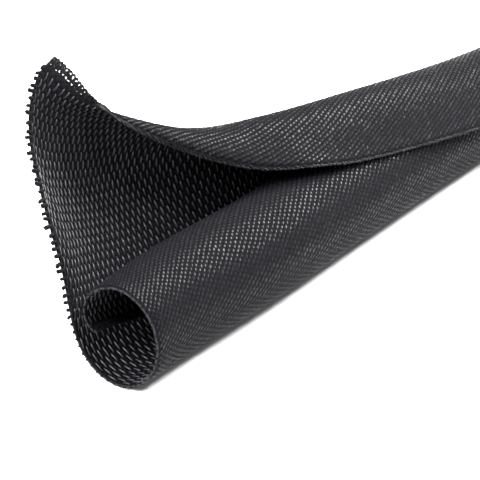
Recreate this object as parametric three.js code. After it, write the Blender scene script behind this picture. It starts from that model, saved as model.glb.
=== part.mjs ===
// Self-wrapping woven cable sleeve: one strip curled lengthwise into a tube with an overlap,
// closed over most of its length and peeled open at its near end.
// Millimetres, +Z up. The tube lies along +X on a level floor and its slit faces -Y.
import * as THREE from 'three';

// Stock
const stockLength = 304.8;
const stripWidth = 102;
const wallThickness = 0.9;

// Closed tube: a spiral that starts under the overlap and winds outwards
const innerTurnRadius = 8.12;
const layerPitch = 1.4;
const ovalShare = 0.193;
const innerEdgeAngle = -82.8;

// Peeled end: the inner part of the strip stays rolled, tighter at its edge, and turns and shifts
const rollRadius = 8.64;
const edgeCurlRadius = 3;
const edgeCurlWidth = 6.7;
const rollReach = 52;
const rollEase = -0.11;
const rolledEdgeAngle = -72.9;
const turnReach = 270;
const turnEase = 3;
const rollShift = -9.98;
const rollShiftReach = 182;

// Peeled end: the flap unbends, each stretch of it from its own distance in, and sways past that
const flapStart = 55.7;
const flapBlend = 14;
const flapStretches = [
  { across: 0, relief: 0.166, reach: 80.5, ease: -0.69, sway: 0, swayReach: 100 },
  { across: 0.33, relief: 0.13, reach: 166, ease: 2.12, sway: -0.013, swayReach: 69 },
  { across: 0.67, relief: 0.0736, reach: 54, ease: 2.65, sway: 0.0954, swayReach: 155 },
  { across: 1, relief: 0.1245, reach: 286, ease: 4.99, sway: 0.298, swayReach: 63.5 },
];

// Facets
const stepsAcross = 76;
const finerSteps = 4;
const stationsInFlare = 34;
const restFacetWidth = 1.6;

const degrees = Math.PI / 180;
const bottomAngle = 270 * degrees;
const flareLength = Math.max(rollReach, turnReach, rollShiftReach, ...flapStretches.map((s) => s.reach));

function smooth(from, to, value) {
  const t = THREE.MathUtils.clamp((value - from) / (to - from), 0, 1);
  return t * t * (3 - 2 * t);
}

// 1 at the near end, falling to 0 at the reach
function fade(along, reach, ease) {
  const x = Math.min(along / reach, 1);
  return (1 - x) ** 2 * (1 + ease * x);
}

// 0 at the near end, 1 at a third of the reach and 0 again from the reach on
function hump(along, reach) {
  const x = Math.min(along / reach, 1);
  return 6.75 * x * (1 - x) ** 2;
}

function spiralRadius(across) {
  return Math.sqrt(innerTurnRadius ** 2 + (layerPitch * across) / Math.PI);
}

// Angle that the spiral has reached at a place across the strip
function spiralAngle(across) {
  return innerEdgeAngle * degrees + ((2 * Math.PI) / layerPitch) * (spiralRadius(across) - innerTurnRadius);
}

// Curvature of the closed tube: the spiral's, flatter above and below so the tube lies still
function closedCurvature(across) {
  return (1 + ovalShare * Math.cos(2 * spiralAngle(across))) / spiralRadius(across);
}

// Angle of the closed tube's outward normal, which that curvature adds up to
function closedAngle(across) {
  return spiralAngle(across) + (ovalShare / 2) * Math.sin(2 * spiralAngle(across));
}

function rolledCurvature(across) {
  const curl = Math.exp(-((across / edgeCurlWidth) ** 2));
  return 1 / rollRadius + (1 / edgeCurlRadius - 1 / rollRadius) * curl;
}

function stretchBend(stretch, along) {
  return stretch.sway * hump(along, stretch.swayReach) - stretch.relief * fade(along, stretch.reach, stretch.ease);
}

// Bend added in the flap, blended from each stretch to the next
function flapBend(across, along) {
  const place = Math.max((across - flapStart) / (stripWidth - flapStart), 0);
  const next = Math.max(flapStretches.findIndex((stretch) => stretch.across > place), 1);
  const [before, after] = place < 1 ? flapStretches.slice(next - 1, next + 1) : flapStretches.slice(-2);
  const share = smooth(before.across, after.across, place);
  return THREE.MathUtils.lerp(stretchBend(before, along), stretchBend(after, along), share);
}

function curvature(across, along) {
  const closed = closedCurvature(across);
  const inFlap = smooth(flapStart - flapBlend, flapStart + flapBlend, across);
  const rolling = (1 - inFlap) * fade(along, rollReach, rollEase);
  return closed + (rolledCurvature(across) - closed) * rolling + flapBend(across, along) * inFlap;
}

// Places across the strip, one step of them centred on the line that the closed tube rests on
function placesAcross() {
  let rest = 0;
  while (closedAngle(rest) < bottomAngle) {
    rest += 0.01;
  }
  const before = Math.round((stepsAcross * rest) / stripWidth);
  const after = stepsAcross - before - 1;
  const places = [];
  for (let i = 0; i <= before; i += 1) {
    places.push(((rest - restFacetWidth / 2) * i) / before);
  }
  for (let i = 0; i <= after; i += 1) {
    places.push(THREE.MathUtils.lerp(rest + restFacetWidth / 2, stripWidth, i / after));
  }
  return places;
}

// Section at a distance along the strip: points of the wall's middle, lying on the floor at the
// place where the outward normal points straight down. A fine step is shorter in the section where
// the strip also runs along the tube, which its drawn-back share tells.
function section(places, along, drawnBack) {
  const turning = fade(along, turnReach, turnEase);
  let angle = THREE.MathUtils.lerp(closedAngle(0), rolledEdgeAngle * degrees, turning);
  let y = 0;
  let z = 0;
  let low = null;
  const points = [{ y, z }];
  for (let i = 1; i < places.length; i += 1) {
    const step = (places[i] - places[i - 1]) / finerSteps;
    const seen = Math.sqrt(Math.max(1 - drawnBack[i - 1] ** 2, 0.25)) * step;
    for (let k = 0; k < finerSteps; k += 1) {
      const turn = curvature(places[i - 1] + (k + 0.5) * step, along) * step;
      const dy = -Math.sin(angle + turn / 2) * seen;
      const dz = Math.cos(angle + turn / 2) * seen;
      if (low === null && angle <= bottomAngle && angle + turn > bottomAngle) {
        const share = (bottomAngle - angle) / turn;
        low = { y: y + dy * share, z: z + dz * share };
      }
      y += dy;
      z += dz;
      angle += turn;
    }
    points.push({ y, z });
  }
  const shift = rollShift * fade(along, rollShiftReach, 1);
  return points.map((p) => ({ y: p.y - low.y + shift, z: p.z - low.z + wallThickness / 2 }));
}

// Stations along the strip, closer together where the strip flares
function stations() {
  const list = [];
  for (let i = 0; i <= stationsInFlare; i += 1) {
    list.push(flareLength * (i / stationsInFlare) ** 1.2);
  }
  list.push(stockLength);
  return list;
}

// Rows of points from the near end to the far one: the warps keep their length, so where a line of
// the strip swings sideways its near end draws back
function rowsOf(sections, along) {
  const last = along.length - 1;
  const rows = sections.map((points) => points.map((p) => new THREE.Vector3(0, p.y, p.z)));
  rows[last].forEach((p) => p.setX(stockLength));
  for (let j = last - 1; j >= 0; j -= 1) {
    const run = along[j + 1] - along[j];
    rows[j].forEach((p, i) => {
      const next = rows[j + 1][i];
      const sideways = Math.hypot(next.y - p.y, next.z - p.z);
      p.setX(next.x - Math.sqrt(Math.max(run ** 2 - sideways ** 2, 0)));
    });
  }
  return rows;
}

// Middle surface, drawn twice: the second time the wefts keep their length too
function middleSurface() {
  const places = placesAcross();
  const along = stations();
  const level = places.slice(1).map(() => 0);
  const first = rowsOf(along.map((v) => section(places, v, level)), along);
  const drawnBack = first.map((row) => level.map((_, i) => (row[i + 1].x - row[i].x) / (places[i + 1] - places[i])));
  return rowsOf(along.map((v, j) => section(places, v, drawnBack[j])), along);
}

// Outward normal of the grid at a vertex, from its neighbours
function gridNormal(rows, j, i) {
  const last = rows.length - 1;
  const end = rows[0].length - 1;
  const lengthwise = new THREE.Vector3().subVectors(rows[Math.min(j + 1, last)][i], rows[Math.max(j - 1, 0)][i]);
  const crosswise = new THREE.Vector3().subVectors(rows[j][Math.min(i + 1, end)], rows[j][Math.max(i - 1, 0)]);
  return new THREE.Vector3().crossVectors(crosswise, lengthwise).normalize();
}

// Closed sheet: the two faces half a wall either side of the middle, joined by a rim all round
function sheetGeometry() {
  const rows = middleSurface();
  const across = rows[0].length;
  const positions = [];
  for (const side of [1, -1]) {
    rows.forEach((row, j) => {
      row.forEach((p, i) => {
        const normal = gridNormal(rows, j, i);
        positions.push(...p.clone().addScaledVector(normal, (side * wallThickness) / 2).toArray());
      });
    });
  }
  const index = [];
  const outer = (j, i) => j * across + i;
  const inner = (j, i) => (rows.length + j) * across + i;
  const quad = (a, b, c, d) => index.push(a, b, c, a, c, d);
  for (let j = 0; j < rows.length - 1; j += 1) {
    for (let i = 0; i < across - 1; i += 1) {
      quad(outer(j, i), outer(j, i + 1), outer(j + 1, i + 1), outer(j + 1, i));
      quad(inner(j, i), inner(j + 1, i), inner(j + 1, i + 1), inner(j, i + 1));
    }
    quad(outer(j, 0), outer(j + 1, 0), inner(j + 1, 0), inner(j, 0));
    quad(outer(j + 1, across - 1), outer(j, across - 1), inner(j, across - 1), inner(j + 1, across - 1));
  }
  const end = rows.length - 1;
  for (let i = 0; i < across - 1; i += 1) {
    quad(outer(0, i + 1), outer(0, i), inner(0, i), inner(0, i + 1));
    quad(outer(end, i), outer(end, i + 1), inner(end, i + 1), inner(end, i));
  }
  const geometry = new THREE.BufferGeometry();
  geometry.setAttribute('position', new THREE.Float32BufferAttribute(positions, 3));
  geometry.setIndex(index);
  return geometry;
}

// Black filament cloth
function clothMaterial() {
  return new THREE.MeshStandardMaterial({ color: 0x1b1b20, roughness: 0.62, metalness: 0 });
}

function wovenSleeve() {
  const geometry = sheetGeometry();
  geometry.computeBoundingBox();
  const box = geometry.boundingBox;
  const middle = box.getCenter(new THREE.Vector3());
  geometry.translate(-middle.x, -middle.y, -box.min.z);
  geometry.computeVertexNormals();
  const mesh = new THREE.Mesh(geometry, clothMaterial());
  mesh.name = 'woven_sleeve';
  return mesh;
}

const sleeve = new THREE.Group();
sleeve.add(wovenSleeve());

export default sleeve;
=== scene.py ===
import bpy
import numpy as np
from mathutils import Matrix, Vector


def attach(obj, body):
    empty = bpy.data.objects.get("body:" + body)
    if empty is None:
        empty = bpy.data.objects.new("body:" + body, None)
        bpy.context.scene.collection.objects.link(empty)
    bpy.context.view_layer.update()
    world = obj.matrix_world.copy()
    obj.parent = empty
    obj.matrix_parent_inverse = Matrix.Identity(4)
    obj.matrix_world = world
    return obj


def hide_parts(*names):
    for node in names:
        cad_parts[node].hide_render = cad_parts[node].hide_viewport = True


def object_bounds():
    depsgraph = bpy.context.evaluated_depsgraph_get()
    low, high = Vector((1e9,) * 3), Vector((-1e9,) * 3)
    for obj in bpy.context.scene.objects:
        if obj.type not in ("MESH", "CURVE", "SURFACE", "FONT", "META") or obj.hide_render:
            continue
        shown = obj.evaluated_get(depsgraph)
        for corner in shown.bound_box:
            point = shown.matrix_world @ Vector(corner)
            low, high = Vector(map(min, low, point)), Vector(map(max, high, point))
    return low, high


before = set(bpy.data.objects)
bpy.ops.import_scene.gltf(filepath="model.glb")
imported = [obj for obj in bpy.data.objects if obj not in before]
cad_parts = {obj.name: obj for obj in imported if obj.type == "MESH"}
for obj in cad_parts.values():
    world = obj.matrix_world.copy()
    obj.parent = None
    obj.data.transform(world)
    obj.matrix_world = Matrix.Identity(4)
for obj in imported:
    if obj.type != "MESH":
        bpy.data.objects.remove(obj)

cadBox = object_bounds()
rng = np.random.default_rng(7)
mm = 0.001

# The strip's shape: lengths in mm and angles in degrees, the same as in the CAD source
strip = {
    "length": 304.8,
    "width": 102.0,
    "wall": 0.9,
    "innerTurnRadius": 8.12,
    "layerPitch": 1.4,
    "ovalShare": 0.193,
    "innerEdgeAngle": -82.8,
    "rollRadius": 8.64,
    "edgeCurlRadius": 3.0,
    "edgeCurlWidth": 6.7,
    "rollReach": 52.0,
    "rollEase": -0.11,
    "rolledEdgeAngle": -72.9,
    "turnReach": 270.0,
    "turnEase": 3.0,
    "rollShift": -9.98,
    "rollShiftReach": 182.0,
    "flapStart": 55.7,
    "flapBlend": 14.0,
    # across, relief, reach, ease, sway, swayReach
    "flapStretches": [
        (0.0, 0.166, 80.5, -0.69, 0.0, 100.0),
        (0.33, 0.13, 166.0, 2.12, -0.013, 69.0),
        (0.67, 0.0736, 54.0, 2.65, 0.0954, 155.0),
        (1.0, 0.1245, 286.0, 4.99, 0.298, 63.5),
    ],
    "stepsAcross": 510,
    "stepsAlong": 381,
}

# The yarns' pitches and places, in mm: weft filaments cross the strip, warp yarns run along it.
# Wefts are counted from the peeled end, with some to spare, because the lay below shifts them
weave = {
    "weftPitch": 0.93,
    "firstWeft": -14,
    "spareLength": 8.0,
    "floatRepeat": 3.0,
    "crownRepeat": 1.0,
    "clothLifts": (0.36, -0.2),
    "cutLifts": (0.14, -0.1),
    "selvedge": 0.95,
    "closedSelvedge": 0.15,
    "selvedgeNarrows": (22.0, 60.0),
    "cutRim": 0.45,
}

# How the yarns lie askew where the end was pulled open, and how deep its cut runs in, in mm
lay = {
    "drift": 8.6,
    "driftReach": 48.0,
    "driftEdges": (28.0, 60.0),
    "swing": 12.0,
    "swingFrom": 54.0,
    "swingTo": 92.0,
    "swingReach": 52.0,
    "gather": 3.6,
    "gatherReach": 12.0,
    "bow": 0.0075,
    "bowStart": 75.0,
    "cutDepth": 4.2,
    "cutMiddle": 87.0,
    "cutReach": 9.0,
    "returnRounds": 40,
    "returnShare": 0.7,
}


# Smooth step: t*t*(3 - 2t) with t from 0 at low to 1 at high
def smooth(low, high, x):
    t = np.clip((x - low) / (high - low), 0, 1)
    return t * t * (3 - 2 * t)


# (1 - x)^2 (1 + ease x), x = along / reach up to 1: 1 at the peeled end, 0 from the reach on
def fade(along, reach, ease):
    x = np.minimum(along / reach, 1)
    return (1 - x) ** 2 * (1 + ease * x)


# 6.75 x (1 - x)^2: 0 at the peeled end, 1 at a third of the reach, 0 from the reach on
def hump(along, reach):
    x = np.minimum(along / reach, 1)
    return 6.75 * x * (1 - x) ** 2


# Middle of the strip as P(u, v): its curvature k(u, v) is added up across to the angle a of the
# outward normal, and (-sin a, cos a) is added up to y and z. The lowest point is set on the floor.
# The warps keep their length, so x is drawn back by the sum of sqrt(dv^2 - dy^2 - dz^2) from the
# far end, and in the second round the wefts keep theirs too.
def middleOfStrip(u, v):
    s = strip
    radius = np.sqrt(s["innerTurnRadius"] ** 2 + s["layerPitch"] * u / np.pi)
    turnsOut = 2 * np.pi / s["layerPitch"] * (radius - s["innerTurnRadius"])
    spiral = np.radians(s["innerEdgeAngle"]) + turnsOut
    closed = (1 + s["ovalShare"] * np.cos(2 * spiral)) / radius
    startClosed = spiral[0] + s["ovalShare"] / 2 * np.sin(2 * spiral[0])
    curl = np.exp(-((u / s["edgeCurlWidth"]) ** 2))
    rolled = 1 / s["rollRadius"] + (1 / s["edgeCurlRadius"] - 1 / s["rollRadius"]) * curl
    inFlap = smooth(s["flapStart"] - s["flapBlend"], s["flapStart"] + s["flapBlend"], u)
    rolling = fade(v, s["rollReach"], s["rollEase"])
    bend = closed[:, None] + ((rolled - closed) * (1 - inFlap))[:, None] * rolling
    place = np.clip((u - s["flapStart"]) / (s["width"] - s["flapStart"]), 0, 1)
    stretches = s["flapStretches"]
    for n, (own, relief, reach, ease, sway, swayReach) in enumerate(stretches):
        if n == 0:
            share = np.where(place <= own, 1.0, 0.0)
        else:
            share = smooth(stretches[n - 1][0], own, place)
        if n + 1 < len(stretches):
            share = np.where(place > own, 1 - smooth(own, stretches[n + 1][0], place), share)
        added = sway * hump(v, swayReach) - relief * fade(v, reach, ease)
        bend = bend + (share * inFlap)[:, None] * added

    du = u[1] - u[0]
    turning = np.radians(s["rolledEdgeAngle"]) - startClosed
    startTurned = startClosed + turning * fade(v, s["turnReach"], s["turnEase"])
    turned = np.cumsum(0.5 * (bend[1:] + bend[:-1]) * du, axis=0)
    angle = startTurned + np.vstack([np.zeros((1, v.size)), turned])
    halfway = 0.5 * (angle[1:] + angle[:-1])
    bottom = np.radians(270)
    low = np.argmax(angle > bottom, axis=0)
    column = np.arange(v.size)
    part = (bottom - angle[low - 1, column]) / (angle[low, column] - angle[low - 1, column])
    shift = s["rollShift"] * fade(v, s["rollShiftReach"], 1.0)
    seen = np.full(halfway.shape, du)
    for lap in range(2):
        start = np.zeros((1, v.size))
        y = np.vstack([start, np.cumsum(-np.sin(halfway) * seen, axis=0)])
        z = np.vstack([start, np.cumsum(np.cos(halfway) * seen, axis=0)])
        y = y - (y[low - 1, column] * (1 - part) + y[low, column] * part) + shift
        z = z - (z[low - 1, column] * (1 - part) + z[low, column] * part) + s["wall"] / 2
        sideways = np.diff(y, axis=1) ** 2
        run = np.sqrt(np.maximum(np.diff(v) ** 2 - sideways - np.diff(z, axis=1) ** 2, 0))
        x = np.full(y.shape, s["length"])
        x[:, :-1] -= np.cumsum(run[:, ::-1], axis=1)[:, ::-1]
        seen = np.sqrt(np.maximum(du**2 - np.diff(x, axis=0) ** 2, (0.5 * du) ** 2))
    return np.stack([x, y, z], axis=-1)


# Each vector divided by its length
def unit(vectors):
    return vectors / np.maximum(np.linalg.norm(vectors, axis=-1, keepdims=True), 1e-12)


gridU = np.linspace(0, strip["width"], strip["stepsAcross"] + 1)
gridV = np.linspace(0, strip["length"], strip["stepsAlong"] + 1)
middle = middleOfStrip(gridU, gridV)
acrossDir = unit(np.gradient(middle, gridU, axis=0))
alongDir = unit(np.gradient(middle, gridV, axis=1))
outward = unit(np.cross(acrossDir, alongDir))

# The strip's own x and y start at its near end and under the closed tube; the CAD part is centred
halfWall = outward * strip["wall"] / 2
walls = np.concatenate([middle + halfWall, middle - halfWall])
cadLow, cadHigh = (np.array(corner) / mm for corner in cadBox)
shiftToCad = (cadLow + cadHigh) / 2 - (walls.min((0, 1)) + walls.max((0, 1))) / 2
shiftToCad[2] = cadLow[2] - walls[..., 2].min()
print("strip surface", middle.shape, "shift to the CAD frame in mm", np.round(shiftToCad, 3))


# Point at (u, v) lifted by h along the outward normal, and that normal: bilinear between the four
# nearest points of the fine grid. Past an edge or a cut end it goes straight on along the weft or
# the warp.
def onStrip(u, v, h=0.0):
    u, v, h = np.broadcast_arrays(np.asarray(u, float), v, h)
    uIn, vIn = np.clip(u, 0, strip["width"]), np.clip(v, 0, strip["length"])
    a, b = uIn / gridU[1], vIn / gridV[1]
    i, j = np.minimum(a.astype(int), gridU.size - 2), np.minimum(b.astype(int), gridV.size - 2)
    fa, fb = (a - i)[..., None], (b - j)[..., None]

    def between(grid):
        near = grid[i, j] * (1 - fa) + grid[i + 1, j] * fa
        far = grid[i, j + 1] * (1 - fa) + grid[i + 1, j + 1] * fa
        return near * (1 - fb) + far * fb

    normal = unit(between(outward))
    past = between(acrossDir) * (u - uIn)[..., None] + between(alongDir) * (v - vIn)[..., None]
    return between(middle) + past + normal * h[..., None] + shiftToCad, normal


# Where the yarn crossing (p, q) of the straight cloth lies on the strip. Towards the peeled end the
# warps drift by drift (1 - q / reach)^2 to the inner edge, fading to both edges. The wefts swing
# away from the cut in the flap, by swing times a smooth step up across and one down along, gather
# towards it by gather (1 - exp(-q / reach)) and bow to it as bow (p - start)^2 at the outer edge.
def layOfYarns(p, q):
    behind = np.maximum(q, 0)
    inner, outer = lay["driftEdges"]
    fading = smooth(0, inner, p) * (1 - smooth(strip["width"] - outer, strip["width"], p))
    drift = lay["drift"] * (1 - np.minimum(behind / lay["driftReach"], 1)) ** 2 * fading
    forward = 1 - smooth(0, lay["swingReach"], behind)
    swung = smooth(lay["swingFrom"], lay["swingTo"], p)
    gathered = lay["gather"] * (1 - np.exp(-behind / lay["gatherReach"]))
    bow = lay["bow"] * np.maximum(p - lay["bowStart"], 0) ** 2
    return p - drift, q + lay["swing"] * swung * forward - gathered - bow


# The other way round: p and q are mended by a share of what is left over, round after round
def yarnsAt(u, v):
    p, q = u, v
    for lap in range(lay["returnRounds"]):
        laidU, laidV = layOfYarns(p, q)
        p, q = p + lay["returnShare"] * (u - laidU), q + lay["returnShare"] * (v - laidV)
    return p, q


# The peeled end's cut runs in a little in the flap: v = depth exp(-((u - middle) / reach)^2)
def cutLine(u):
    return lay["cutDepth"] * np.exp(-(((u - lay["cutMiddle"]) / lay["cutReach"]) ** 2))


# The closed end is cut square: v = length
def squareCut(u):
    return strip["length"] + 0 * u


# Puts a mesh into the scene as a piece of the sleeve. Points are in mm, faceGroups are arrays of
# corner numbers, marks are values for each point that materials read by name.
def addPiece(name, points, faceGroups, material, uv=None, marks=None, smoothShaded=True):
    mesh = bpy.data.meshes.new(name)
    faces = [face for group in faceGroups for face in group.tolist()]
    mesh.from_pydata((points.reshape(-1, 3) * mm).tolist(), [], faces)
    mesh.polygons.foreach_set("use_smooth", np.full(len(mesh.polygons), smoothShaded))
    if uv is not None:
        corner = np.empty(len(mesh.loops), dtype=np.int32)
        mesh.loops.foreach_get("vertex_index", corner)
        layer = mesh.uv_layers.new(name="weave")
        layer.data.foreach_set("uv", uv.reshape(-1, 2)[corner].astype(np.float32).ravel())
    for label, values in (marks or {}).items():
        layer = mesh.attributes.new(label, "FLOAT", "POINT")
        layer.data.foreach_set("value", np.ravel(values).astype(np.float32))
    mesh.materials.append(material)
    mesh.update()
    piece = bpy.data.objects.new(name, mesh)
    bpy.context.scene.collection.objects.link(piece)
    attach(piece, "root")
    print(name, len(faces), "faces")
    return piece


# Tubes along paths (tube, step, xyz): ring point k of n lies at p + r (cos t side + flat sin t up),
# t = 2 pi (k + 1/2) / n, side = tangent x up; both ends are closed by a flat cap
def tubeMesh(paths, ups, radius, sides, flat=1.0):
    count, steps = paths.shape[:2]
    tangent = unit(np.gradient(paths, axis=1))
    side = unit(np.cross(tangent, ups))
    up = np.cross(side, tangent)
    turn = 2 * np.pi * np.arange(sides) / sides + np.pi / sides
    radius = np.broadcast_to(radius, (count, steps))[..., None, None]
    sideways = np.cos(turn)[:, None] * side[:, :, None]
    rings = paths[:, :, None] + radius * (sideways + flat * np.sin(turn)[:, None] * up[:, :, None])
    first = (np.arange(count)[:, None, None] * steps + np.arange(steps - 1)[None, :, None]) * sides
    k = np.arange(sides)
    a, b = first + k, first + (k + 1) % sides
    quads = np.stack([a, a + sides, b + sides, b], axis=-1).reshape(-1, 4)
    starts = np.arange(count)[:, None] * steps * sides
    nearCaps = starts + k
    farCaps = starts + (steps - 1) * sides + k[::-1]
    return rings.reshape(-1, 3), [quads, nearCaps, farCaps]


# Two meshes as one: the second one's corners are counted on from the first one's points
def joined(first, second):
    firstPoints, firstFaces = first
    secondPoints, secondFaces = second
    counted = [group + len(firstPoints) for group in secondFaces]
    return np.concatenate([firstPoints, secondPoints]), firstFaces + counted


# A new material with its node tree and shader, roughness and specular level set from its look
def newMaterial(name, look):
    material = bpy.data.materials.new(name)
    material.use_nodes = True
    nodes, links = material.node_tree.nodes, material.node_tree.links
    shader = nodes["Principled BSDF"]
    shader.inputs["Roughness"].default_value = look["roughness"]
    shader.inputs["Specular IOR Level"].default_value = look["specular"]
    return material, nodes, links, shader


# Links a socket's value into an input, or sets a plain number there
def feed(links, value, socket):
    if isinstance(value, (int, float)):
        socket.default_value = value
    else:
        links.new(value, socket)


# Result of one math operation on sockets' values and plain numbers
def mathNode(nodes, links, operation, *values):
    node = nodes.new("ShaderNodeMath")
    node.operation = operation
    for socket, value in zip(node.inputs, values):
        feed(links, value, socket)
    return node.outputs[0]


# A level noise read at a place that a socket gives
def noiseNode(nodes, links, place, scale, detail):
    node = nodes.new("ShaderNodeTexNoise")
    node.inputs["Scale"].default_value = scale
    node.inputs["Detail"].default_value = detail
    links.new(place, node.inputs["Vector"])
    return node.outputs["Fac"]


# A colour between dark and light by the amount that a socket gives
def colourBetween(nodes, links, dark, light, amount):
    node = nodes.new("ShaderNodeMix")
    node.data_type = "RGBA"
    node.inputs["A"].default_value = (*dark, 1)
    node.inputs["B"].default_value = (*light, 1)
    links.new(amount, node.inputs["Factor"])
    return node.outputs["Result"]


# Relief by a height that a socket gives; depth is in metres
def raiseBy(nodes, links, shader, height, strength, depth):
    bump = nodes.new("ShaderNodeBump")
    bump.inputs["Strength"].default_value = strength
    bump.inputs["Distance"].default_value = depth
    links.new(height, bump.inputs["Height"])
    links.new(bump.outputs["Normal"], shader.inputs["Normal"])


# nub is the yarns' own tone; grooveAndShade is the dark of the gaps together with painted shade in
# the hollows
outerLook = {
    "roughness": 0.7,
    "specular": 0.06,
    "nub": (0.0080, 0.0072, 0.0096),
    "grooveAndShade": (0.0010, 0.0010, 0.0016),
    "rib": 0.65,
    "counterRib": 0.2,
    "bump": 0.8,
}
# The inside's tones are darker than the outside's: partly the cloth's own gaps between the floats,
# partly painted shade for the shaded inside of the flap and the roll
innerLook = {
    "roughness": 0.8,
    "specular": 0.06,
    "nub": (0.0058, 0.0058, 0.0075),
    "grooveAndShade": (0.0012, 0.0012, 0.0020),
    "rib": 0.4,
    "counterRib": 0.4,
    "bump": 0.5,
}
# Fibres and uneven patches of the cloth, the same on both of its faces
clothGrain = {
    "fibreStretch": (9.0, 1.6, 1.0),
    "fibreScale": 1.0,
    "fibreDetail": 2.0,
    "fibreHeight": 2.3,
    "heightRange": (-0.7, 0.9),
    "patchScale": 0.05,
    "patchDetail": 3.0,
    "patchTones": (0.75, 1.25),
    "depth": 0.0002,
}


# The crossings make a twill: high where a cos(2 pi (U + V/2)) + b cos(2 pi (U - V/2)) is high, U
# counting crown repeats and V wefts, with the first set of ribs the stronger outside; a stretched
# noise adds fibres that run lengthwise, and a broad one uneven patches of tone. Low places take the
# dark tone, which is painted shade in the hollows between the ribs besides the gaps' own dark
def clothMaterial(name, look):
    material, nodes, links, shader = newMaterial(name, look)
    grain = clothGrain
    uvMap = nodes.new("ShaderNodeUVMap")
    uvMap.uv_map = "weave"
    counts = uvMap.outputs["UV"]
    split = nodes.new("ShaderNodeSeparateXYZ")
    links.new(counts, split.inputs[0])

    def calc(operation, *values):
        return mathNode(nodes, links, operation, *values)

    acrossTurn = calc("MULTIPLY", split.outputs["X"], 2 * np.pi)
    alongTurn = calc("MULTIPLY", split.outputs["Y"], np.pi)
    rib = calc("COSINE", calc("ADD", acrossTurn, alongTurn))
    counterRib = calc("COSINE", calc("SUBTRACT", acrossTurn, alongTurn))
    ribs = calc("MULTIPLY", rib, look["rib"])
    height = calc("ADD", ribs, calc("MULTIPLY", counterRib, look["counterRib"]))

    stretch = nodes.new("ShaderNodeMapping")
    stretch.inputs["Scale"].default_value = grain["fibreStretch"]
    links.new(counts, stretch.inputs["Vector"])
    place = stretch.outputs["Vector"]
    fibres = noiseNode(nodes, links, place, grain["fibreScale"], grain["fibreDetail"])
    uneven = calc("MULTIPLY", calc("SUBTRACT", fibres, 0.5), grain["fibreHeight"])
    fullHeight = calc("ADD", height, uneven)

    level = nodes.new("ShaderNodeMapRange")
    level.inputs["From Min"].default_value = grain["heightRange"][0]
    level.inputs["From Max"].default_value = grain["heightRange"][1]
    links.new(fullHeight, level.inputs["Value"])
    # painted shade: low places get the darker tone, standing in for shade in the hollows on top of
    # the gaps' own dark
    threads = colourBetween(nodes, links, look["grooveAndShade"], look["nub"], level.outputs["Result"])

    spread = nodes.new("ShaderNodeMapRange")
    spread.inputs["To Min"].default_value = grain["patchTones"][0]
    spread.inputs["To Max"].default_value = grain["patchTones"][1]
    patches = noiseNode(nodes, links, counts, grain["patchScale"], grain["patchDetail"])
    links.new(patches, spread.inputs["Value"])
    tone = nodes.new("ShaderNodeMix")
    tone.data_type = "RGBA"
    tone.blend_type = "MULTIPLY"
    tone.inputs["Factor"].default_value = 1.0
    links.new(threads, tone.inputs["A"])
    links.new(spread.outputs["Result"], tone.inputs["B"])
    links.new(tone.outputs["Result"], shader.inputs["Base Color"])
    raiseBy(nodes, links, shader, fullHeight, look["bump"], grain["depth"])
    return material


filamentLook = {
    "roughness": 0.33,
    "specular": 0.6,
    "dark": (0.008, 0.008, 0.010),
    "light": (0.028, 0.028, 0.033),
    "grain": 900.0,
    "bump": 0.1,
}
crownLook = {
    "roughness": 0.31,
    "specular": 0.13,
    "dark": (0.003, 0.0028, 0.0038),
    "light": (0.0096, 0.0088, 0.0113),
    "grain": 900.0,
    "bump": 0.1,
}
cordLook = {
    "roughness": 0.45,
    "specular": 0.12,
    "dark": (0.002, 0.002, 0.003),
    "light": (0.010, 0.0095, 0.012),
    "grain": 2500.0,
    "bump": 0.5,
}
# the light tone is reached only on the bead where the strip is rolled and at the closed end, as a
# painted highlight along the rim
endLook = {
    "roughness": 0.8,
    "specular": 0.1,
    "dark": (0.001, 0.001, 0.0013),
    "light": (0.024, 0.024, 0.027),
    "grain": 2500.0,
    "bump": 0.6,
}
yarnGrain = {"detail": 2.0, "depth": 0.0001}


# A yarn colour that varies from dark to light by the mark "yarn", 0 to 1, with a fine grain
def yarnMaterial(name, look):
    material, nodes, links, shader = newMaterial(name, look)
    yarn = nodes.new("ShaderNodeAttribute")
    yarn.attribute_name = "yarn"
    tone = colourBetween(nodes, links, look["dark"], look["light"], yarn.outputs["Fac"])
    links.new(tone, shader.inputs["Base Color"])
    texture = nodes.new("ShaderNodeTexCoord")
    place = texture.outputs["Object"]
    grain = noiseNode(nodes, links, place, look["grain"], yarnGrain["detail"])
    raiseBy(nodes, links, shader, grain, look["bump"], yarnGrain["depth"])
    return material


outerCloth = clothMaterial("black_warp_cloth_outside", outerLook)
innerCloth = clothMaterial("black_warp_cloth_inside", innerLook)
filament = yarnMaterial("black_weft_filament", filamentLook)
crownFilament = yarnMaterial("black_weft_crown", crownLook)
edgeCord = yarnMaterial("black_selvedge_cord", cordLook)
cutEnds = yarnMaterial("black_cut_ends", endLook)
print("materials made")


# Width of the knitted edge beside the cloth, by a smooth step narrower where the tube is closed
def selvedgeAt(v):
    narrower = smooth(*weave["selvedgeNarrows"], v)
    return weave["selvedge"] + (weave["closedSelvedge"] - weave["selvedge"]) * narrower


# Steps of the cloth's grid, and in mm: how long its finely stepped peeled part is, how far from a
# cut end it gets thinner, and how far behind the cut the grid still follows the cut line
clothGrid = {
    "across": 112,
    "alongPeeled": 80,
    "alongClosed": 100,
    "peeledPart": 60.0,
    "thinning": 3.0,
    "cutBlend": 30.0,
}


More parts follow.
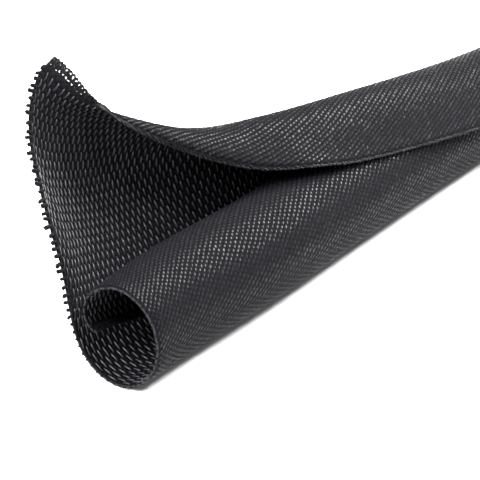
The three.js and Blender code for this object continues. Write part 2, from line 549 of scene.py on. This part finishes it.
# Two grids of the strip, one on each face of the cloth, and a rim: P(u, v) lifted by lifts that
# shrink by a smooth step to thinner ones at the cut ends. It starts and ends a third of a rim in
# and follows the peeled end's cut line, less and less behind it by another smooth step.
def cloth():
    g = clothGrid
    nearEnd, farEnd = weave["cutRim"] / 3, strip["length"] - weave["cutRim"] / 3
    share = np.linspace(0, 1, g["across"])
    v = np.concatenate([
        np.linspace(nearEnd, g["peeledPart"], g["alongPeeled"]),
        np.linspace(g["peeledPart"], farEnd, g["alongClosed"])[1:],
    ])
    share, gv = np.meshgrid(share, v, indexing="ij")
    gu = selvedgeAt(gv) + (strip["width"] - 2 * selvedgeAt(gv)) * share
    full = smooth(0, g["thinning"], np.minimum(gv, strip["length"] - gv))
    gv = gv + cutLine(gu) * (1 - smooth(0, g["cutBlend"], gv))
    layers = [
        onStrip(gu, gv, cut + (lift - cut) * full)[0]
        for lift, cut in zip(weave["clothLifts"], weave["cutLifts"])
    ]
    across, along = gu.shape
    index = np.arange(across * along).reshape(across, along)
    a, b, c, d = index[:-1, :-1], index[1:, :-1], index[1:, 1:], index[:-1, 1:]
    outer = np.stack([a, b, c, d], axis=-1).reshape(-1, 4)
    inner = outer[:, ::-1] + index.size
    loop = np.concatenate([index[:, 0], index[-1, 1:], index[-2::-1, -1], index[0, -2:0:-1]])
    after = np.roll(loop, -1)
    rim = np.stack([loop, loop + index.size, after + index.size, after], axis=-1)
    p, q = yarnsAt(gu, gv)
    counts = np.stack([p / weave["crownRepeat"], q / weave["weftPitch"] - 0.5], axis=-1)
    uv = np.stack([counts, counts])
    piece = addPiece("woven_cloth", np.stack(layers), [outer, inner, rim], outerCloth, uv=uv)
    # the inside faces and the rim take the darker inside cloth, which carries painted shade
    piece.data.materials.append(innerCloth)
    inside = np.zeros(len(piece.data.polygons), dtype=np.int32)
    inside[len(outer):] = 1
    piece.data.polygons.foreach_set("material_index", inside)
    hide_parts("woven_sleeve")
    return piece


# True where a yarn keeps clear of both cut ends by the rim's width
def insideCuts(u, v):
    return (v > cutLine(u) + weave["cutRim"]) & (v < strip["length"] - weave["cutRim"])


# Long weft floats, in mm. clearOfEdge is a share of the selvedge's width and start a share of the
# repeat. They are shorter beside the outer selvedge near the cut. Of each shade a part is the
# float's own and the rest its weft's.
floats = {
    "start": 0.2,
    "halfLength": 0.95,
    "lengthRange": (0.9, 1.06),
    "shoulder": 0.5,
    "radius": 0.175,
    "endRadius": 0.09,
    "sides": 4,
    "flat": 0.8,
    "middleLift": -0.27,
    "endLift": -0.12,
    "shortening": 0.2,
    "shortAcross": (82.0, 98.0),
    "shortAlong": (18.0, 45.0),
    "clearOfEdge": 0.5,
    "strayAcross": 0.04,
    "strayAlong": 0.025,
    "strayLift": 0.012,
    "ownShade": 0.6,
    "weftShades": 2000,
    "firstShade": 20,
}


# Each weft shows inside as long floats, one a repeat, half a repeat apart between neighbours. A
# float is a flat tube from p - half to p + half along its weft, lifted to the inside between its
# shoulders, with its ends pressed into the cloth
def weftFloats(name, numbers):
    f = floats
    repeats = np.arange(int(strip["width"] / weave["floatRepeat"]) + 1)
    n, k = np.meshgrid(numbers, repeats, indexing="ij")
    p = (k + (n % 2) / 2 + f["start"]) * weave["floatRepeat"]
    p = p + rng.normal(0, f["strayAcross"], n.shape)
    q = (n + 0.5) * weave["weftPitch"] + rng.normal(0, f["strayAlong"], n.shape)
    t = np.array([-1.0, -f["shoulder"], f["shoulder"], 1.0])
    squeezed = smooth(*f["shortAcross"], p) * (1 - smooth(*f["shortAlong"], q))
    half = f["halfLength"] * rng.uniform(*f["lengthRange"], n.shape)
    half = half * (1 - f["shortening"] * squeezed)
    u, v = layOfYarns(p[..., None] + half[..., None] * t, q[..., None] + 0 * t)
    edge = weave["selvedge"] * f["clearOfEdge"]
    kept = insideCuts(u, v).all(-1) & (p - half > edge) & (p + half < strip["width"] - edge)
    u, v = u[kept], v[kept]
    lift = np.array([f["endLift"], f["middleLift"], f["middleLift"], f["endLift"]])
    paths, normals = onStrip(u, v, lift + rng.normal(0, f["strayLift"], (len(u), 1)))
    radius = np.array([f["endRadius"], f["radius"], f["radius"], f["endRadius"]])
    points, faces = tubeMesh(paths, normals, radius[None], f["sides"], f["flat"])
    shade = rng.random(len(u)) * f["ownShade"]
    shade = shade + (1 - f["ownShade"]) * rng.random(f["weftShades"])[n[kept] + f["firstShade"]]
    marks = np.repeat(shade, len(t) * f["sides"])
    return addPiece(name, points, faces, filament, marks={"yarn": marks})


# Crowns, in mm: half sizes of top and base along the weft and along the warp. clearOfEdge is a
# share of the selvedge's width
crowns = {
    "top": (0.12, 0.17),
    "base": (0.25, 0.38),
    "skew": -0.5,
    "topLift": 0.44,
    "baseLift": 0.30,
    "tilt": 0.035,
    "clearOfEdge": 0.6,
    "stray": 0.045,
    "strayLift": 0.015,
    "sizeSpread": 0.14,
}


# Where a weft comes over the warps outside it shows as a small crown: a block whose flat top is
# smaller than its base, slanted along the twill (u += skew v) and each tilted its own way
def weftCrowns(name, numbers):
    c = crowns
    repeats = np.arange(1, int(strip["width"] / weave["crownRepeat"]))
    n, k = np.meshgrid(numbers, repeats, indexing="ij")
    p = (k + (n % 2) / 2) * weave["crownRepeat"] + rng.normal(0, c["stray"], n.shape)
    q = (n + 0.5) * weave["weftPitch"] + rng.normal(0, c["stray"], n.shape)
    signs = np.array([[-1, -1], [1, -1], [1, 1], [-1, 1]])
    offsets = np.concatenate([signs * np.array(c["top"]), signs * np.array(c["base"])])
    offsets[:, 0] += c["skew"] * offsets[:, 1]
    lifts = np.repeat([c["topLift"], c["baseLift"]], 4)
    size = rng.normal(1, c["sizeSpread"], n.shape)[..., None]
    u, v = layOfYarns(p[..., None] + size * offsets[:, 0], q[..., None] + size * offsets[:, 1])
    edge = selvedgeAt(v) * c["clearOfEdge"]
    kept = (insideCuts(u, v) & (u > edge) & (u < strip["width"] - edge)).all(-1)
    u, v = u[kept], v[kept]
    tilt = rng.normal(0, c["tilt"], (len(u), 2)) @ offsets.T
    points, _ = onStrip(u, v, lifts + tilt + rng.normal(0, c["strayLift"], (len(u), 1)))
    topFace, baseFace = [0, 1, 2, 3], [7, 6, 5, 4]
    flanks = [[0, 4, 5, 1], [1, 5, 6, 2], [2, 6, 7, 3], [3, 7, 4, 0]]
    corners = np.array([topFace, baseFace, *flanks])
    faces = (np.arange(len(u))[:, None, None] * 8 + corners).reshape(-1, 4)
    marks = {"yarn": np.repeat(rng.random(len(u)), 8)}
    return addPiece(name, points, [faces], crownFilament, marks=marks, smoothShaded=False)


# The knitted edge, in mm. Each cord has its inset from the edge, its swing, its turns a weft and
# the share of a turn that it starts with
selvedge = {
    "cords": (
        (-0.34, 0.16, 1.0, 0.0),
        (0.58, 0.2, 1.0, 0.5),
        (0.05, 0.38, 0.5, 0.15),
        (0.2, 0.3, 1.5, 0.6),
        (0.88, 0.1, 0.7, 0.3),
        (0.4, 0.28, 0.77, 0.8),
    ),
    "radius": 0.215,
    "radiusRange": (0.75, 1.3),
    "rise": 0.08,
    "step": 0.3,
    "sides": 4,
    "strayAcross": 0.06,
    "strayLift": 0.02,
    "loopRadius": 0.15,
    "loopOut": 0.35,
    "loopIn": 0.3,
    "loopStrayAlong": 0.08,
    "loopStrayLift": 0.03,
}


# The edge is knitted: six cords snake along it as inset + swing cos(2 pi (v / pitch * turns +
# start)), rising and falling by a quarter turn later, and each weft's end is bound in by them
def selvedgeCords(name, atOuterEdge):
    s = selvedge
    steps = int(strip["length"] / s["step"])
    v = np.linspace(s["step"], strip["length"] - s["step"], steps)
    paths, normals = [], []
    for inset, swing, turns, start in s["cords"]:
        turn = 2 * np.pi * (v / weave["weftPitch"] * turns + start)
        across = inset + swing * np.cos(turn) + rng.normal(0, s["strayAcross"], steps)
        u = strip["width"] - across if atOuterEdge else across
        lift = s["rise"] * np.sin(turn) + rng.normal(0, s["strayLift"], steps)
        path, normal = onStrip(u, v, lift)
        paths.append(path)
        normals.append(normal)
    radius = s["radius"] * rng.uniform(*s["radiusRange"], (len(paths), steps))
    cords = tubeMesh(np.stack(paths), np.stack(normals), radius, s["sides"])
    wefts = (np.arange(int(strip["length"] / weave["weftPitch"])) + 0.5) * weave["weftPitch"]
    reach = np.array([-s["loopOut"], s["loopIn"], weave["selvedge"] + s["loopIn"]])
    u = strip["width"] - reach if atOuterEdge else reach
    v = wefts[:, None] + rng.normal(0, s["loopStrayAlong"], (wefts.size, 3))
    path, normal = onStrip(u, v, rng.normal(0, s["loopStrayLift"], v.shape))
    loops = tubeMesh(path, normal, s["loopRadius"], s["sides"])
    points, faces = joined(cords, loops)
    return addPiece(name, points, faces, edgeCord, marks={"yarn": rng.random(len(points)) ** 2})


# The heat-cut edges, in mm: narrower where the strip is rolled, broader in the flap. Lumps push the
# bead along and up and swell it, as many steps long as lumpSteps
bead = {
    "steps": 420,
    "sides": 8,
    "endGap": 0.1,
    "flapHalfWidth": 0.28,
    "rolledHalfWidth": 0.17,
    "halfThickness": 0.28,
    "flapFrom": (50.0, 62.0),
    "setBack": 0.85,
    "lumpSteps": 5,
    "lumpAlong": 0.06,
    "lumpUp": 0.05,
    "lumpSwell": 0.12,
    "shades": (0.6, 1.0),
}


# A lumpy bead across the strip just inside the cut: a round tube, squashed towards the strip to
# half a thickness wherever it is wider
def cutRim(name, cutAt, inward):
    b = bead
    u = np.linspace(b["endGap"], strip["width"] - b["endGap"], b["steps"])
    lump = rng.normal(0, 1, u.size)
    around = np.concatenate([lump, lump[: b["lumpSteps"] - 1]])
    lump = np.convolve(around, np.ones(b["lumpSteps"]) / b["lumpSteps"], "valid")
    inFlap = smooth(*b["flapFrom"], u) if inward > 0 else 0 * u
    half = b["rolledHalfWidth"] + (b["flapHalfWidth"] - b["rolledHalfWidth"]) * inFlap
    v = cutAt(u) + inward * half * b["setBack"] + b["lumpAlong"] * lump
    path, normal = onStrip(u, v, b["lumpUp"] * lump)
    radius = half * (1 + b["lumpSwell"] * lump)
    points, faces = tubeMesh(path[None], normal[None], radius[None], b["sides"])
    centre = np.repeat(path, b["sides"], axis=0)
    up = np.repeat(normal, b["sides"], axis=0)
    rise = ((points - centre) * up).sum(-1, keepdims=True)
    squash = np.minimum(1, b["halfThickness"] / np.repeat(half, b["sides"]))[:, None]
    points = points + up * rise * (squash - 1)
    # painted highlight: the bead is lighter where the strip is rolled and all along the closed end,
    # and dark in the flap; the random factor is its own uneven tone
    marks = np.repeat(1 - inFlap, b["sides"]) * rng.uniform(*b["shades"], len(points))
    return addPiece(name, points, faces, cutEnds, marks={"yarn": marks})


# Loose warp ends, in mm. Places are shares of a tuft's length from the cut, swells go with them.
# endways is how far they point along the tube and not along their warp. Where the strip is rolled,
# and at the closed end, they are shorter, down to a share, and then also thinner
tuft = {
    "pitch": 1.3,
    "length": 1.35,
    "lengthRange": (0.65, 1.15),
    "rolledShare": 0.15,
    "flapFrom": (48.0, 64.0),
    "closedShare": 0.4,
    "thinnest": 0.3,
    "endways": 0.6,
    "endwaysStep": 0.5,
    "strayAcross": 0.12,
    "lean": 0.2,
    "stubRadius": 0.38,
    "stubSides": 6,
    "stubPlaces": (-0.3, 0.1, 0.5, 0.8, 0.95),
    "stubSwells": (0.8, 0.9, 1.0, 1.05, 0.85),
    "stubRange": (0.8, 1.15),
    "hairs": 5,
    "hairRadius": 0.08,
    "hairSides": 4,
    "hairPlaces": (-0.3, 0.2, 0.65, 1.0),
    "hairSwells": (1.0, 1.1, 1.0, 0.6),
    "hairRange": (0.8, 1.15),
    "hairSpread": 0.12,
    "hairLean": 0.1,
    "shade": 0.15,
}


# Share of the full length that the tufts have at the peeled end: a smooth step into the flap
def peeledTufts(u):
    return tuft["rolledShare"] + (1 - tuft["rolledShare"]) * smooth(*tuft["flapFrom"], u)


# At the closed end they all have the same share
def closedTufts(u):
    return tuft["closedShare"] + 0 * u


# Points beyond a cut: start on the strip, then go on partly along the warp, partly along the tube
def pastCut(u, v0, h, beyond, outwardSign):
    start, normal = onStrip(u, v0, h)
    ahead, _ = onStrip(u, v0 + outwardSign * tuft["endwaysStep"], h)
    endways = np.array([outwardSign, 0, 0]) * tuft["endways"]
    along = unit(ahead - start) * (1 - tuft["endways"]) + endways
    return start + unit(along) * beyond[..., None], normal


# A blunt stub for each few warps with fine hairs about it, both start + t length + t^2 lean length
def tufts(name, cutAt, outwardSign, shareAt):
    count = int(strip["width"] / tuft["pitch"])
    hairs = tuft["hairs"]
    centre = (np.arange(count) + 0.5) * tuft["pitch"] + rng.normal(0, tuft["strayAcross"], count)
    lean = rng.normal(0, tuft["lean"], (count, 2))
    length = tuft["length"] * shareAt(centre) * rng.uniform(*tuft["lengthRange"], count)

    t = np.array(tuft["stubPlaces"])
    swell = np.array(tuft["stubSwells"]) * rng.uniform(*tuft["stubRange"], (count, 1))
    swell = swell * (tuft["thinnest"] + (1 - tuft["thinnest"]) * shareAt(centre))[:, None]
    u = centre[:, None] + lean[:, :1] * t**2 * length[:, None]
    h = lean[:, 1:] * t**2 * length[:, None]
    cut = cutAt(centre)
    paths, normals = pastCut(u, cut[:, None], h, t * length[:, None], outwardSign)
    stubs = tubeMesh(paths, normals, tuft["stubRadius"] * swell, tuft["stubSides"])

    t = np.array(tuft["hairPlaces"])
    spread = rng.normal(0, 1, (count, hairs, 2)) * tuft["hairSpread"]
    ownLean = lean[:, None] + rng.normal(0, tuft["hairLean"], (count, hairs, 2))
    hairLength = length[:, None] * rng.uniform(*tuft["hairRange"], (count, hairs))
    bend = t**2 * length[:, None, None]
    u = centre[:, None, None] + spread[..., 0, None] + ownLean[..., 0, None] * bend
    h = spread[..., 1, None] + ownLean[..., 1, None] * bend
    beyond = t * hairLength[..., None]
    cut = np.repeat(cut, hairs)[:, None]
    u, h, beyond = (values.reshape(-1, t.size) for values in (u, h, beyond))
    paths, normals = pastCut(u, cut, h, beyond, outwardSign)
    radius = tuft["hairRadius"] * np.array(tuft["hairSwells"])
    fine = tubeMesh(paths, normals, radius[None], tuft["hairSides"])

    points, faces = joined(stubs, fine)
    marks = rng.random(len(points)) * tuft["shade"]
    return addPiece(name, points, faces, cutEnds, marks={"yarn": marks})


sheetOfCloth = cloth()
lastWeft = int((strip["length"] + weave["spareLength"]) / weave["weftPitch"])
wefts = np.arange(weave["firstWeft"], lastWeft)
thirds = list(zip(("peeled", "middle", "closed"), np.array_split(wefts, 3)))
trims = [weftFloats(f"weft_floats_{third}_third", numbers) for third, numbers in thirds]
trims += [weftCrowns(f"weft_crowns_{third}_third", numbers) for third, numbers in thirds]
trims += [
    selvedgeCords("selvedge_outer", True),
    selvedgeCords("selvedge_inner", False),
    cutRim("cut_rim_peeled_end", cutLine, 1),
    cutRim("cut_rim_closed_end", squareCut, -1),
    tufts("warp_ends_peeled_end", cutLine, -1, peeledTufts),
    tufts("warp_ends_closed_end", squareCut, 1, closedTufts),
]

# Floor and lights; lengths and places in metres
studio = {
    "floorSize": 6.0,
    "floorTone": 0.93,
    "worldStrength": 0.5,
}
lights = {
    "ceiling_softbox": {
        "place": (0.1, 0.5, 1.4),
        "target": (0.1, 0.499, 0.0),
        "size": 3.0,
        "power": 54.0,
    },
    "key_lamp": {
        "place": (0.74, -0.44, 0.80),
        "target": (-0.05, 0.0, 0.01),
        "size": 0.25,
        "power": 15.5,
    },
    "top_softbox": {
        "place": (0.40, 0.0, 0.46),
        "target": (0.2, 0.0, 0.0),
        "size": 0.3,
        "power": 9.0,
    },
    "side_softbox": {
        "place": (0.16, -0.62, 0.98),
        "target": (-0.08, 0.0, 0.01),
        "size": 0.3,
        "power": 10.0,
    },
    "mouth_fill": {
        "place": (-0.6, 0.1, 0.38),
        "target": (-0.14, -0.01, 0.01),
        "size": 0.2,
        "power": 8.5,
    },
}
floorMesh = bpy.data.meshes.new("studio_floor")
half = studio["floorSize"] / 2
floorCorners = [(-half, -half, 0), (half, -half, 0), (half, half, 0), (-half, half, 0)]
floorMesh.from_pydata(floorCorners, [], [(0, 1, 2, 3)])
floor = bpy.data.objects.new("studio_floor", floorMesh)
bpy.context.scene.collection.objects.link(floor)
floorLook = {"roughness": 0.9, "specular": 0.1}
floorMaterial, _, _, floorShader = newMaterial("studio_white", floorLook)
floorTone = studio["floorTone"]
floorShader.inputs["Base Color"].default_value = (floorTone, floorTone, floorTone, 1)
floorMesh.materials.append(floorMaterial)

world = bpy.data.worlds.new("studio")
world.use_nodes = True
background = world.node_tree.nodes["Background"]
background.inputs["Color"].default_value = (1, 1, 1, 1)
background.inputs["Strength"].default_value = studio["worldStrength"]
bpy.context.scene.world = world


# Sets an object at a place, turned so that it looks against the direction back
def standAt(item, place, right, back):
    turned = np.eye(4)
    turned[:3, :3] = np.stack([right, np.cross(back, right), back], axis=1)
    turned[:3, 3] = place
    bpy.context.scene.collection.objects.link(item)
    item.matrix_world = Matrix(turned.tolist())


# A square soft light at a place, turned to look at a target
def softLight(name, place, target, size, power):
    data = bpy.data.lights.new(name, "AREA")
    data.shape = "SQUARE"
    data.size = size
    data.energy = power
    back = unit(np.array(place, float) - np.array(target, float))
    right = unit(np.cross([0, 0, 1], back))
    standAt(bpy.data.objects.new(name, data), place, right, back)


for name, light in lights.items():
    softLight(name, **light)

# The camera stands where the photo was taken: azimuth and elevation in degrees, place in the
# strip's own mm
view = {
    "azimuth": -51.2435,
    "elevation": 25.622,
    "place": (-190.748, -190.843, 153.298),
    "focalInPixels": 1820.17,
    "imageWidth": 480,
    "sensorWidth": 36.0,
    "clipStart": 0.01,
}
a, e = np.radians(view["azimuth"]), np.radians(view["elevation"])
back = np.array([np.sin(a) * np.cos(e), -np.cos(a) * np.cos(e), np.sin(e)])
right = np.array([np.cos(a), np.sin(a), 0.0])
cameraData = bpy.data.cameras.new("photo_camera")
cameraData.sensor_width = view["sensorWidth"]
cameraData.lens = view["focalInPixels"] / view["imageWidth"] * view["sensorWidth"]
cameraData.clip_start = view["clipStart"]
camera = bpy.data.objects.new("photo_camera", cameraData)
standAt(camera, (np.array(view["place"]) + shiftToCad) * mm, right, back)
bpy.context.scene.camera = camera
bpy.context.scene.view_settings.view_transform = "Standard"
print("studio set")
